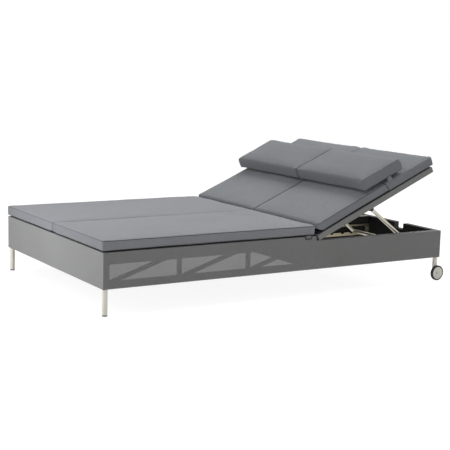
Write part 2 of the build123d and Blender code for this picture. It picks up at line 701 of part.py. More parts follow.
# Support bows, drawn at their resting place
BAR_X, BAR_Z = bow_bar(REST_TILT)
SIDE_PLATE = SIDE_IN - LINER - PLATE_STAND
CENTRE_PLATE = TUBE / 2 + LINER + PLATE_STAND
for side, sign in SIDES.items():
    with BuildPart() as bow:
        ends = sorted((sign * (SIDE_PLATE + STUB), sign * (CENTRE_PLATE - STUB)))
        rod_y(BOW_RADIUS, BAR_X, BAR_Z, *ends)
        for arm in (sign * ARM_OUT, sign * ARM_IN):
            down = Vector(cos(BOW_SLOPE), 0, -sin(BOW_SLOPE))
            start = Vector(PIVOT_X, arm, PIVOT_Z)
            flat_end = Plane(start + down * EYE_NECK, x_dir=(0, 1, 0), z_dir=down)
            round_end = Plane(start + down * (EYE_NECK + EYE_TAPER), x_dir=(0, 1, 0), z_dir=down)
            with BuildSketch(round_end):
                Circle(BOW_RADIUS)
            extrude(amount=BOW_ARM - EYE_NECK - EYE_TAPER)
            with BuildSketch(flat_end):
                RectangleRounded(EYE_THICKNESS, 2 * EYE_RADIUS, EYE_ROUND)
            with BuildSketch(round_end):
                Circle(BOW_RADIUS)
            loft()
            with BuildSketch(Plane(start, x_dir=(0, 1, 0), z_dir=down)):
                Rectangle(EYE_THICKNESS, 2 * EYE_RADIUS)
            extrude(amount=EYE_NECK)
            half = EYE_THICKNESS / 2
            rod_y(EYE_RADIUS, PIVOT_X, PIVOT_Z, arm - half, arm + half)
            through = (arm - half - OVERRUN, arm + half + OVERRUN)
            rod_y(BOW_PIN_RADIUS + PIN_RUN, PIVOT_X, PIVOT_Z, *through, mode=Mode.SUBTRACT)
    save(bow.part, f"{side}_bow")

# Notched plates, two for each bow
PLATE_X1 = HEAD_IN - 2 * LINER
PLATE_Z0 = SLOT_FLOOR - PLATE_EDGE_BOTTOM
PLATE_Z1 = SLOT_ROOF + PLATE_EDGE_TOP
BOLT_XS = (PLATE_X0 + BOLT_INSET, END_POST)
BOLT_ZS = (PLATE_Z0 + BOLT_RISE, PLATE_Z0 + BOLT_RISE + BOLT_PITCH)


def notched_plate(y0):
    """A plate with a long slot whose floor is notched for each place of the bow's bar."""
    with BuildSketch(Plane.XZ.offset(-y0)) as section:
        with Locations(((PLATE_X0 + PLATE_X1) / 2, (PLATE_Z0 + PLATE_Z1) / 2)):
            RectangleRounded(PLATE_X1 - PLATE_X0, PLATE_Z1 - PLATE_Z0, PLATE_ROUND)
        with Locations(((SLOT_LEFT + SLOT_RIGHT) / 2, (SLOT_FLOOR + SLOT_ROOF) / 2)):
            RectangleRounded(SLOT_RIGHT - SLOT_LEFT, SLOT_ROOF - SLOT_FLOOR, SLOT_ROUND, mode=Mode.SUBTRACT)
        for tilt in NOTCHED_TILTS:
            with Locations((bow_bar(tilt)[0], SLOT_FLOOR)):
                RectangleRounded(TOOTH_WIDTH, 2 * TOOTH_DEPTH, TOOTH_ROUND, mode=Mode.SUBTRACT)
        for x in BOLT_XS:
            with Locations(*[(x, z) for z in BOLT_ZS]):
                Circle(BOLT_RADIUS, mode=Mode.SUBTRACT)
    extrude(section.sketch, amount=-PLATE)


for side, sign in SIDES.items():
    for place, face, outward in (("outer", SIDE_PLATE, -1), ("inner", CENTRE_PLATE, 1)):
        y0 = min(sign * face, sign * (face + outward * PLATE))
        with BuildPart() as slot_plate:
            notched_plate(y0)
        save(slot_plate.part, f"{side}_{place}_slot_plate")

FACING = ((SIDE_PLATE, -1), (CENTRE_PLATE, 1))
PLATE_FACES = [(sign * face, sign * out) for sign in SIDES.values() for face, out in FACING]
with BuildPart() as plate_spacers:
    for face, out in PLATE_FACES:
        for x in BOLT_XS:
            for z in BOLT_ZS:
                rod_y(SPACER_RADIUS, x, z, *sorted((face - out * PLATE_STAND, face)))
save(plate_spacers.part, "plate_spacers")

with BuildPart() as plate_bolts:
    for face, out in PLATE_FACES:
        outside = face + out * PLATE
        for x in BOLT_XS:
            for z in BOLT_ZS:
                rod_y(BOLT_RADIUS, x, z, *sorted((face, outside)))
                rod_y(BOLT_HEAD_RADIUS, x, z, *sorted((outside, outside + out * BOLT_HEAD)))
save(plate_bolts.part, "plate_bolts")


def cushion(x0, x1, y0, y1, z0, thickness, draw, crown, end_crown, grow=0):
    """A box cushion: crowned on top, its sides drawn in between the corners; grow makes a skin for it."""
    sections = []
    x1, y0, y1, thickness = x1 + grow, y0 - grow, y1 + grow, thickness + grow
    for share in STATION_SHARES:
        mid = 1 - (2 * share - 1) ** 2
        a, b = y0 + draw * mid, y1 - draw * mid
        top = z0 + thickness
        rise = end_crown + (crown - end_crown) * mid
        with BuildSketch(Plane.YZ.offset(x0 + (x1 - x0) * share)) as section:
            with BuildLine():
                Line((a, z0), (b, z0))
                ThreePointArc((b, z0), (b + CUSHION_BULGE, z0 + thickness / 2), (b, top))
                ThreePointArc((b, top), ((a + b) / 2, top + rise), (a, top))
                ThreePointArc((a, top), (a - CUSHION_BULGE, z0 + thickness / 2), (a, z0))
            make_face()
        sections.append(section.sketch)
    loft(sections)


def round_ends(x0, x1, y0, y1, z0, thickness, crown, slope0, round0, round1):
    """Trim a cushion's two ends to their side view: sloping or rounded into its top."""
    top = z0 + thickness + crown
    reach = (y1 - y0) + 2 * OVERRUN
    with BuildSketch(Plane.XZ.offset(-(y0 - OVERRUN))) as ends:
        with BuildLine():
            Polyline((x0, z0), (x1, z0), (x1, top), (x0 + slope0, top), close=True)
        make_face()
        fillet(ends.vertices().sort_by_distance((x0 + slope0, top))[0], round0)
        fillet(ends.vertices().sort_by_distance((x1, top))[0], round1)
    extrude(ends.sketch, amount=-reach, mode=Mode.INTERSECT)


def round_corners(x0, x1, y0, y1, z0, height, grow=0):
    """Round a cushion's corners as seen from above; grow is the skin that a hood adds."""
    side = CUSHION_BULGE + grow + SOFT_GAP
    with BuildSketch(Plane.XY.offset(z0)) as plan:
        with Locations(((x0 + x1) / 2, (y0 + y1) / 2)):
            RectangleRounded(x1 - x0, y1 - y0 + 2 * side, CORNER_ROUND + grow)
    extrude(plan.sketch, amount=height, mode=Mode.INTERSECT)


# Seat cushions
CUSHION_SHAPE = (CUSHION, CUSHION_DRAW, CUSHION_CROWN, CUSHION_END_CROWN)
SEAT_Z = FRAME_TOP + SEAT_RISE + SOFT_GAP
SEAT_END = STEP_X - SEAT_CUSHION_SHORT
for side, sign in SIDES.items():
    y0, y1 = sorted((sign * SEAT_INSET, sign * (SIDE_Y - SEAT_INSET)))
    with BuildPart() as seat_cushion:
        cushion(FOOT_X, SEAT_END, y0, y1, SEAT_Z, *CUSHION_SHAPE)
        rounds = (0, CUSHION_END_ROUND, SEAT_END_ROUND)
        round_ends(FOOT_X, SEAT_END, y0, y1, SEAT_Z, CUSHION, CUSHION_CROWN, *rounds)
        round_corners(FOOT_X, SEAT_END, y0, y1, SEAT_Z, CUSHION + CUSHION_CROWN)
    save(seat_cushion.part, f"{side}_seat_cushion")

with BuildPart() as cushion_tabs:
    for sign in SIDES.values():
        y0, y1 = sorted((sign * SIDE_Y, sign * (SIDE_Y + TAB_THICKNESS)))
        with BuildSketch(Plane.XZ.offset(-y0)):
            with Locations((STEP_X - TAB_FROM_STEP, SEAT_Z - SOFT_GAP - TAB_LENGTH / 2)):
                RectangleRounded(TAB_WIDTH, TAB_LENGTH, TAB_ROUND)
        extrude(amount=y0 - y1)
save(cushion_tabs.part, "cushion_tabs")

# Back cushions, the hoods drawn over their head ends, and the pillows sewn to the hoods
BACK_Z = BAR_OVER + BACK_RISE + SOFT_GAP
BACK_X0 = HINGE_X + BACK_CUSHION_START
BACK_X1 = HINGE_X + BACK_CUSHION_LENGTH
for side, sign in SIDES.items():
    y0, y1 = sorted((sign * BACK_INSET, sign * (SIDE_Y - BACK_INSET)))
    with BuildPart() as back_cushion:
        cushion(BACK_X0, BACK_X1, y0, y1, BACK_Z, *CUSHION_SHAPE)
        rounds = (BACK_END_SLOPE, BACK_START_ROUND, CUSHION_END_ROUND)
        round_ends(BACK_X0, BACK_X1, y0, y1, BACK_Z, CUSHION, CUSHION_CROWN, *rounds)
        round_corners(BACK_X0, BACK_X1, y0, y1, BACK_Z, CUSHION + CUSHION_CROWN)
    save(tilted(back_cushion.part), f"{side}_back_cushion")

    with BuildPart() as hood_form:
        cushion(BACK_X0, BACK_X1, y0, y1, BACK_Z, *CUSHION_SHAPE, SOFT_GAP)
        end = BACK_X1 + SOFT_GAP
        rise = CUSHION + CUSHION_CROWN + SOFT_GAP
        start = BACK_X0 - OVERRUN
        round_ends(start, end, y0, y1, BACK_Z - SOFT_GAP, rise, 0, 0, CUSHION_END_ROUND, CUSHION_END_ROUND)
        round_corners(start - CORNER_ROUND, end, y0, y1, BACK_Z - SOFT_GAP, rise + OVERRUN, SOFT_GAP)
    with BuildPart() as hood:
        skin = SOFT_GAP + HOOD
        cushion(BACK_X0, BACK_X1, y0, y1, BACK_Z, *CUSHION_SHAPE, skin)
        rise = CUSHION + CUSHION_CROWN + skin
        start, end = HINGE_X + HOOD_START, BACK_X1 + skin
        round_ends(start, end, y0, y1, BACK_Z, rise, 0, -HOOD_SLANT, CUSHION_END_ROUND, CUSHION_END_ROUND)
        ahead = start - HOOD_SLANT - 2 * CORNER_ROUND
        round_corners(ahead, end, y0, y1, BACK_Z, rise + OVERRUN, skin)
        add(hood_form.part, mode=Mode.SUBTRACT)
    save(tilted(hood.part), f"{side}_hood")

    with BuildPart() as pillow:
        base = HINGE_Z
        belly = BACK_Z + CUSHION + CUSHION_CROWN + HOOD + 2 * SOFT_GAP
        for share in STATION_SHARES:
            mid = 1 - (2 * share - 1) ** 2
            u0 = HINGE_X + PILLOW_START + PILLOW_DRAW * mid
            u1 = HINGE_X + PILLOW_END - PILLOW_DRAW * mid
            low = base + PILLOW_SEAM - PILLOW_DRAW * mid
            high = base + PILLOW_TOP + PILLOW_DRAW * mid
            sag = PILLOW_END_SAG + (low - belly - PILLOW_END_SAG) * mid
            crown = PILLOW_END_CROWN + PILLOW_CROWN * mid
            y = y0 + (y1 - y0) * share
            with BuildSketch(Plane.XZ.offset(-y)):
                with BuildLine():
                    ThreePointArc((u0, low), ((u0 + u1) / 2, low - sag), (u1, low))
                    ThreePointArc((u1, low), (u1 + PILLOW_PUFF, (low + high) / 2), (u1, high))
                    ThreePointArc((u1, high), ((u0 + u1) / 2, high + crown), (u0, high))
                    ThreePointArc((u0, high), (u0 - PILLOW_PUFF, (low + high) / 2), (u0, low))
                make_face()
        loft()
    save(tilted(pillow.part), f"{side}_pillow")
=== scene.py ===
from math import cos, pi, radians, sin

import bmesh
import bpy
import numpy as np
from mathutils import Matrix, Vector
from mathutils.bvhtree import BVHTree
from mathutils.noise import noise as noise3

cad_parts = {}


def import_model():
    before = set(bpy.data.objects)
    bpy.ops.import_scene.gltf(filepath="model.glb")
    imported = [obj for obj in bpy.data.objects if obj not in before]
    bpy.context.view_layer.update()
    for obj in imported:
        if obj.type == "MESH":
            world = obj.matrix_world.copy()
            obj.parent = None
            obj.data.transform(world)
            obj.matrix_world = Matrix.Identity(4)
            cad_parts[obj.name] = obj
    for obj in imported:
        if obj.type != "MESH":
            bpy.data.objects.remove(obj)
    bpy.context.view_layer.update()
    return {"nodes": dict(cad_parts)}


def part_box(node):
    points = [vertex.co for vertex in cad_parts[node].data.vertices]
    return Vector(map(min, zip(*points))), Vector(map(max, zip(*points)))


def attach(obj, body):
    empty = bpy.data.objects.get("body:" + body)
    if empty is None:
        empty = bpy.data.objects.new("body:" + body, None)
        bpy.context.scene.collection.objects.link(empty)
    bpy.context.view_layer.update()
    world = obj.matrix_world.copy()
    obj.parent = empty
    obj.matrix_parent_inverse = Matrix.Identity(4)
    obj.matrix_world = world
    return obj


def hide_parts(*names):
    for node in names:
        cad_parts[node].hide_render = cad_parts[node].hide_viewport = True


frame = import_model()
nodes = frame["nodes"]
SIDES = {"left": -1, "right": 1}

# Pads, in metres

EDGE_ROWS = (0.0, 0.0025, 0.005, 0.008, 0.012)  # the grid's marks near an edge
CELL = 0.009  # and its cells in between
TOP_EDGE = 0.006  # radius of the top edge
LOW_EDGE = 0.003
INNER_SIDE = 0.0008  # gap between a pad and the middle plane
BULGE = 0.0015  # how far the middle of a side stands out
SEAM_HEIGHT = 0.05  # top seam above the bottom, before it is moved up
SEAM_UP = 0.0025
LOW_SEAM = 0.003
PILLOW_LOW_SEAM = 0.0155
SEAM_RIM = 0.004  # width of the side strip that the top seam's groove keeps to
FOOT_OVERHANG = 0.005
HOOD_START = 0.513  # from the hinge, along the cushion's bottom
HOOD_SLANT = 0.024  # how much nearer the hinge the hood starts on top
SIMULATED_FRAMES = 20

# Finishes and bars, in metres

# Width over which the painted shade along the long sides fades in
PAINTED_SHADE_FADE = 0.006
TAB_RIM = 0.0060
TAB_FADE = 0.0015
# Inside MESH_FOLD, painted shade darkens the head end's folded-in mesh to DARK_SHARE of its grey
MESH_FOLD = 1.0275  # beyond it, the head end's mesh is its grey outside
DARK_SHARE = 0.12  # brightness left in folded-in mesh and in the tab's rim
FLAT_BARS_END = 0.12  # the foot part's bars lie before it
BRACE_PLANES = (0.583, 0.588)  # both faces of the bars, from the middle plane
POST_PLANES = (0.597, 0.602)

# Hinge of the backrests, their tilt in the photograph, and the turn that lays them flat

HINGE = Vector((0.1875, 0.0, 0.297))
TILT = radians(23.65)
FLAT = Matrix.Translation(HINGE) @ Matrix.Rotation(TILT, 4, "Y") @ Matrix.Translation(-HINGE)
RAISED = FLAT.inverted()

# Camera, from the perspective of the photograph


def camera():
    data = bpy.data.cameras.new("camera")
    data.lens = 88.66
    data.sensor_width = 36
    data.clip_end = 100
    cam = bpy.data.objects.new("camera", data)
    bpy.context.collection.objects.link(cam)
    turn, dip, roll = radians(31.76), radians(8.99), radians(-1.55)
    ahead = Vector((sin(turn) * cos(dip), cos(turn) * cos(dip), -sin(dip)))
    right = Vector((cos(turn), -sin(turn), 0))
    down = ahead.cross(right)
    x = cos(roll) * right + sin(roll) * down
    y = sin(roll) * right - cos(roll) * down
    cam.matrix_world = Matrix((x, y, -ahead)).transposed().to_4x4()
    cam.location = (-3.2308, -5.1938, 1.2495)
    bpy.context.scene.camera = cam


def lamp(name, place, aim, size, watts, colour=(1, 1, 1)):
    data = bpy.data.lights.new(name, "AREA")
    data.shape = "RECTANGLE"
    data.size, data.size_y = size
    data.energy = watts
    data.color = colour
    obj = bpy.data.objects.new(name, data)
    bpy.context.collection.objects.link(obj)
    obj.location = place
    obj.rotation_euler = (Vector(aim) - Vector(place)).to_track_quat("-Z", "Y").to_euler()
    obj.visible_camera = False


# Node helpers


def add(tree, kind, *links, **values):
    """A shader node: links and values set its inputs by place or name, and its attributes."""
    n = tree.nodes.new("ShaderNode" + kind)
    for key, v in values.items():
        if hasattr(n, key) and not (key in n.inputs):
            setattr(n, key, v)
        else:
            plug(tree, n.inputs[key.replace("_", " ")], v)
    for i, v in enumerate(links):
        if v is not None:
            plug(tree, n.inputs[i], v)
    return n


def plug(tree, socket, v):
    if isinstance(v, bpy.types.NodeSocket):
        tree.links.new(v, socket)
    elif isinstance(v, bpy.types.Node):
        tree.links.new(v.outputs[0], socket)
    else:
        socket.default_value = v


def maths(tree, op, a, b=None, c=None):
    return add(tree, "Math", a, b, c, operation=op).outputs[0]


def linear(s):
    s = s / 255
    return s / 12.92 if s <= 0.04045 else ((s + 0.055) / 1.055) ** 2.4


def colour(*rgb):
    return (*[linear(v) for v in rgb], 1.0)


def places(tree, tilt=False):
    """Coordinates in the row frame, in metres, or laid flat for a piece of the backrest."""
    obj = add(tree, "TexCoord").outputs["Object"]
    if tilt:
        shift = HINGE - Matrix.Rotation(TILT, 3, "Y") @ HINGE
        obj = add(tree, "Mapping", Vector=obj, Location=shift, Rotation=(0, TILT, 0)).outputs[0]
    return obj


def noise(tree, where, scale, detail=3.0, stretch=(1, 1, 1), rough=0.5):
    if stretch != (1, 1, 1):
        where = add(tree, "Mapping", Vector=where, Scale=stretch).outputs[0]
    return add(tree, "TexNoise", Vector=where, Scale=scale, Detail=detail, Roughness=rough).outputs["Fac"]


def ramp(tree, value, start, end, low, high):
    """Maps start..end of a value to low..high."""
    return add(tree, "MapRange", value, start, end, low, high).outputs[0]


def spread(tree, fac, low, high):
    """Maps the usual range of a noise to low..high."""
    return ramp(tree, fac, 0.3, 0.7, low, high)


def tint(tree, base, factor):
    """The base colour times a factor."""
    return add(tree, "VectorMath", base[:3], None, operation="SCALE", Scale=factor).outputs[0]


def principled(name, rough, metallic=0.0, **values):
    m = bpy.data.materials.new(name)
    m.use_nodes = True
    tree = m.node_tree
    shader = tree.nodes["Principled BSDF"]
    shader.inputs["Roughness"].default_value = rough
    shader.inputs["Metallic"].default_value = metallic
    for k, v in values.items():
        shader.inputs[k.replace("_", " ")].default_value = v
    return m, tree, shader


def bump(tree, shader, height, strength, distance, below=None):
    n = add(tree, "Bump", Height=height, Strength=strength, Distance=distance)
    if below is not None:
        plug(tree, n.inputs["Normal"], below)
    plug(tree, shader.inputs["Normal"], n.outputs[0])
    return n.outputs[0]


def waves(tree, where, pitch):
    """Three sines along the axes, with their peaks pitch apart."""
    axes = add(tree, "SeparateXYZ", where)
    return [maths(tree, "SINE", maths(tree, "MULTIPLY", axes.outputs[i], 2 * pi / pitch)) for i in range(3)]


def product(tree, first, *others):
    for other in others:
        first = maths(tree, "MULTIPLY", first, other)
    return first


def cloth(name, base, tilt=False, pitch=0.0016, vary=0.07, sheen=0.12, depth=0.00035, painted_shade=None):
    """Plain outdoor weave: two thread colours, a fine grid of threads and soft shading.

    A painted shade darkens the cloth by a factor beyond a distance from the middle of the lounger, as shade
    along its long sides."""
    m, tree, shader = principled(
        name, 0.88, Sheen_Weight=sheen, Sheen_Roughness=0.45, Specular_IOR_Level=0.25
    )
    where = places(tree, tilt)
    x, y, z = waves(tree, where, pitch)
    pairs = [maths(tree, "MULTIPLY", a, b) for a, b in ((x, y), (y, z), (z, x))]
    threads = maths(tree, "ADD", maths(tree, "ADD", pairs[0], pairs[1]), pairs[2])
    slub = noise(tree, where, 420, 2.0, (1, 0.12, 1))
    slub2 = noise(tree, where, 420, 2.0, (0.12, 1, 1))
    broad = noise(tree, where, 3.5, 3.0)
    slubs = [spread(tree, fac, 1 - vary, 1 + vary) for fac in (slub, slub2)]
    relief = maths(tree, "MULTIPLY_ADD", threads, 0.05, 1.0)
    tone = product(tree, *slubs, spread(tree, broad, 0.97, 1.03), relief)
    # Painted shade: beyond far from the middle plane the colour is darkened by factor
    if painted_shade is not None:
        across = maths(tree, "ABSOLUTE", add(tree, "SeparateXYZ", where).outputs[1])
        far, factor = painted_shade
        tone = product(tree, tone, ramp(tree, across, far - PAINTED_SHADE_FADE, far + PAINTED_SHADE_FADE, 1.0, factor))
    plug(tree, shader.inputs["Base Color"], tint(tree, base, tone))
    soft = bump(tree, shader, noise(tree, where, 26, 4.0), 0.5, 0.0012)
    bump(tree, shader, threads, 0.5, depth, soft)
    return m


def tab_cloth():
    """Webbing folded into a flat loop: pale in the middle and darker along its rim."""
    m = cloth("tab_cloth", colour(120, 121, 124), pitch=0.001)
    tree = m.node_tree
    base = tree.nodes["Principled BSDF"].inputs["Base Color"]
    low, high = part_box("cushion_tabs")
    axes = add(tree, "SeparateXYZ", places(tree))
    rim = []
    for i in (0, 2):
        mid, half = (low[i] + high[i]) / 2, (high[i] - low[i]) / 2
        away = maths(tree, "ABSOLUTE", maths(tree, "SUBTRACT", axes.outputs[i], mid))
        rim.append(ramp(tree, away, half - TAB_RIM, half - TAB_RIM + TAB_FADE, 1.0, DARK_SHARE))
    edge = maths(tree, "MINIMUM", *rim)
    scaled = add(tree, "VectorMath", base.links[0].from_socket, None, operation="SCALE", Scale=edge)
    plug(tree, base, scaled)
    return m


def open_weave(name, base, first, second, seen_through, pitch=0.0021, outer=None):
    """Coated mesh: threads along two axes with holes between them, which show what is behind.

    Where outer is given, only what lies beyond that x keeps its grey, and painted shade darkens the folded-in
    part nearly to black."""
    m, tree, shader = principled(name, 0.62, Specular_IOR_Level=0.35)
    where = places(tree)
    w = waves(tree, where, pitch)
    a, b = [maths(tree, "ABSOLUTE", w[i]) for i in (first, second)]
    weave = maths(tree, "MAXIMUM", a, b)
    over = maths(tree, "MULTIPLY", w[first], w[second])
    fine = spread(tree, noise(tree, where, 500, 1.0), 0.9, 1.1)
    broad = spread(tree, noise(tree, where, 5, 3.0), 0.96, 1.04)
    tone = product(tree, fine, broad, maths(tree, "MULTIPLY_ADD", over, 0.06, 1.0))
    if outer is not None:
        # Painted shade on the mesh folded in before outer
        along = add(tree, "SeparateXYZ", where).outputs[0]
        tone = product(tree, tone, ramp(tree, along, outer - 0.0012, outer - 0.0004, DARK_SHARE, 1.0))
    plug(tree, shader.inputs["Base Color"], tint(tree, base, tone))
    bump(tree, shader, maths(tree, "ADD", weave, over), 0.5, 0.0003)
    if seen_through:
        shader.inputs["Alpha"].default_value = 1 - seen_through
    return m


def painted(name, base, rough=0.45, vary=0.04, peel=0.0002):
    """Powder coat: slightly pebbled, a little rougher and paler where hands and feet rub."""
    m, tree, shader = principled(name, rough, Specular_IOR_Level=0.4)
    where = places(tree)
    wear = noise(tree, where, 11, 5.0)
    grain = spread(tree, noise(tree, where, 700, 1.0), 0.97, 1.03)
    tone = product(tree, spread(tree, wear, 1 - vary, 1 + vary), grain)
    plug(tree, shader.inputs["Base Color"], tint(tree, base, tone))
    plug(tree, shader.inputs["Roughness"], spread(tree, wear, rough - 0.06, rough + 0.1))
    bump(tree, shader, noise(tree, where, 900, 2.0), 0.4, peel)
    return m


def steel(name, base, rough=0.32, along=0):
    """Brushed stainless steel: fine lines along one axis, with a few faint scratches."""
    m, tree, shader = principled(name, rough, metallic=1.0)
    where = places(tree)
    stretch = [1.0, 1.0, 1.0]
    stretch[along] = 0.02
    lines = noise(tree, where, 2600, 2.0, tuple(stretch))
    smear = noise(tree, where, 16, 4.0)
    tone = product(tree, spread(tree, lines, 0.93, 1.06), spread(tree, smear, 0.95, 1.04))
    grain = spread(tree, lines, rough - 0.06, rough + 0.08)
    gloss = maths(tree, "ADD", grain, spread(tree, smear, -0.03, 0.05))
    plug(tree, shader.inputs["Base Color"], tint(tree, base, tone))
    plug(tree, shader.inputs["Roughness"], gloss)
    bump(tree, shader, lines, 0.25, 0.00008)
    return m


def moulded(name, base, rough=0.5, grain=1200, depth=0.00012, vary=0.03):
    """Moulded plastic or rubber with a fine grain."""
    m, tree, shader = principled(name, rough)
    where = places(tree)
    tone = spread(tree, noise(tree, where, 40, 4.0), 1 - vary, 1 + vary)
    gloss = spread(tree, noise(tree, where, 90, 3.0), rough - 0.05, rough + 0.08)
    plug(tree, shader.inputs["Base Color"], tint(tree, base, tone))
    plug(tree, shader.inputs["Roughness"], gloss)
    bump(tree, shader, noise(tree, where, grain, 2.0), 0.4, depth)
    return m


# Finishes

GREY = colour(142, 143, 148)
# This grey and the pillow's and hood's colours below are the seat's cloth darkened as painted shade, for the
# back tops, the pillow's foot-facing front and the hood between pillow and head, which lie in less light
SHADED_BACK_GREY = colour(131, 134, 138)
MESH_GREY = colour(142, 142, 142)
seat_cloth = cloth("seat_cloth", GREY)
back_cloth = cloth("back_cloth", SHADED_BACK_GREY, tilt=True)
pillow_cloth = cloth("pillow_cloth", colour(123, 126, 130), tilt=True)
hood_cloth = cloth("hood_cloth", colour(127, 130, 134), tilt=True)
# The piping is darker than the cushion cloth, partly its own colour and partly painted shade for the seam's
# groove; painted shade darkens it further along the long sides, where the seams and the gaps under the
# cushions lie in shade
piping_cloth = cloth("piping_cloth", colour(112, 113, 116), pitch=0.001, vary=0.04, painted_shade=(0.598, 0.3))
black_cloth = cloth("black_cloth", colour(19, 19, 18), pitch=0.0012, sheen=0.05)
side_weave = open_weave("side_weave", MESH_GREY, 0, 2, 0.316)
end_weave = open_weave("end_weave", MESH_GREY, 1, 2, 0.0)
# head_weave carries the painted shade on the head end's folded-in mesh
head_weave = open_weave("head_weave", MESH_GREY, 1, 2, 0.0, outer=MESH_FOLD)
# The decks' near-black is painted shade: it stands for the dark gap between the cushions and the frame, where
# the sling lies in shadow
deck_weave = cloth("deck_weave", colour(34, 34, 35), pitch=0.003, depth=0.0006, sheen=0.0)
back_weave = cloth("back_weave", colour(138, 138, 137), tilt=True, pitch=0.0021, sheen=0.0, vary=0.05)
frame_paint = painted("frame_paint", colour(120, 118, 112))
leg_paint = painted("leg_paint", colour(240, 236, 224), rough=0.38)
black_paint = painted("black_paint", colour(34, 33, 32), rough=0.5)
bow_steel = steel("bow_steel", colour(194, 190, 176), along=1)
plate_steel = steel("plate_steel", colour(178, 169, 146), rough=0.38)
bolt_steel = steel("bolt_steel", colour(170, 168, 162), along=1)
tyre_rubber = moulded("tyre_rubber", colour(38, 38, 38), rough=0.75)
glide_rubber = moulded("glide_rubber", colour(40, 39, 37), rough=0.7)
wheel_plastic = moulded("wheel_plastic", colour(224, 222, 212), rough=0.42)


def finish_nodes(mat, *names):
    for name in names:
        data = nodes[name].data
        data.materials.clear()
        data.materials.append(mat)


for side in SIDES:
    finish_nodes(frame_paint, f"{side}_top_rail", f"{side}_head_rail", f"{side}_bottom_rail")
finish_nodes(frame_paint, "corner_posts", "side_posts", "side_braces", "foot_top_rail", "end_bottom_rails")
finish_nodes(frame_paint, "centre_rails", "centre_head_rail", "centre_posts", "cross_rails")
finish_nodes(side_weave, "left_side_mesh", "right_side_mesh")
finish_nodes(end_weave, "foot_end_mesh")
finish_nodes(head_weave, "head_end_mesh")
finish_nodes(black_cloth, "long_liners", "head_liners", "mid_liners")
finish_nodes(leg_paint, "legs", "wheel_legs")
finish_nodes(glide_rubber, "leg_glides")
finish_nodes(bolt_steel, "wheel_axles", "hinge_pins", "plate_bolts", "plate_spacers")
finish_nodes(tyre_rubber, "left_tyre", "right_tyre")
finish_nodes(wheel_plastic, "left_wheel_disc", "right_wheel_disc")
finish_nodes(deck_weave, "left_seat_deck", "right_seat_deck", "left_back_deck", "right_back_deck")
# Black paint on the head's top rail is painted shade for the dark inside of the head end; on the hinge and
# bow brackets it is their own black
finish_nodes(black_paint, "head_top_rail", "hinge_brackets", "left_bow_brackets", "right_bow_brackets")
for side in SIDES:
    finish_nodes(back_weave, f"{side}_back_side_bars", f"{side}_back_cross_bars")
    finish_nodes(plate_steel, f"{side}_outer_slot_plate", f"{side}_inner_slot_plate")
finish_nodes(bow_steel, "left_bow", "right_bow")

# Mesh helpers


def link_mesh(name, verts, faces, mat, smooth=True):
    data = bpy.data.meshes.new(name)
    data.from_pydata([tuple(v) for v in verts], [], [tuple(f) for f in faces])
    data.materials.append(mat)
    if smooth:
        data.shade_smooth()
    obj = bpy.data.objects.new(name, data)
    bpy.context.collection.objects.link(obj)
    return obj


def points(obj):
    co = np.empty(len(obj.data.vertices) * 3)
    obj.data.vertices.foreach_get("co", co)
    return co.reshape(-1, 3)


def extent(obj):
    """Lowest and highest corners of a mesh in its own space."""
    co = points(obj)
    return co.min(axis=0), co.max(axis=0)


def set_points(obj, co):
    obj.data.vertices.foreach_set("co", np.ascontiguousarray(co, dtype=float).ravel())
    obj.data.update()


def flat_bars(name, node, near, far):
    """Bars of the foot part as flat bars between two distances from the middle plane."""
    obj = bpy.data.objects.new(name, nodes[node].data.copy())
    bpy.context.collection.objects.link(obj)
    co = points(obj)
    foot = co[:, 0] < FLAT_BARS_END
    across = np.sign(co[:, 1]) * np.clip(np.abs(co[:, 1]), near, far)
    co[:, 1] = np.where(foot, across, co[:, 1])
    set_points(obj, co)
    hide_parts(node)
    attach(obj, "base")


flat_bars("side_brace_bars", "side_braces", *BRACE_PLANES)
flat_bars("side_post_bars", "side_posts", *POST_PLANES)

# Cushions


def apply_modifiers(obj):
    graph = bpy.context.evaluated_depsgraph_get()
    data = bpy.data.meshes.new_from_object(obj.evaluated_get(graph))
    old = obj.data
    obj.modifiers.clear()
    obj.data = data
    bpy.data.meshes.remove(old)


def lattice(marks):
    """The outside of a block of cells whose corners lie at the marks of each axis, wound outwards."""
    nx, ny, nz = [len(m) - 1 for m in marks]
    index, quads = {}, []

    def at(*place):
        return index.setdefault(place, len(index))

    def patch(quad, turned):
        quads.append(quad[::-1] if turned else quad)

    for k in (0, nz):
        for i in range(nx):
            for j in range(ny):
                patch((at(i, j, k), at(i + 1, j, k), at(i + 1, j + 1, k), at(i, j + 1, k)), k == 0)
    for j in (0, ny):
        for i in range(nx):
            for k in range(nz):
                patch((at(i, j, k), at(i + 1, j, k), at(i + 1, j, k + 1), at(i, j, k + 1)), j == ny)
    for i in (0, nx):
        for j in range(ny):
            for k in range(nz):
                patch((at(i, j, k), at(i, j + 1, k), at(i, j + 1, k + 1), at(i, j, k + 1)), i == 0)
    co = np.array([[marks[axis][n] for axis, n in enumerate(place)] for place in index])
    return co, quads


def rows(low, high):
    """Marks along one side of a cushion, closer together at both ends."""
    inner = np.linspace(low + EDGE_ROWS[-1], high - EDGE_ROWS[-1], max(2, round((high - low) / CELL)))
    return [*(low + r for r in EDGE_ROWS[:-1]), *inner, *(high - r for r in EDGE_ROWS[-2::-1])]


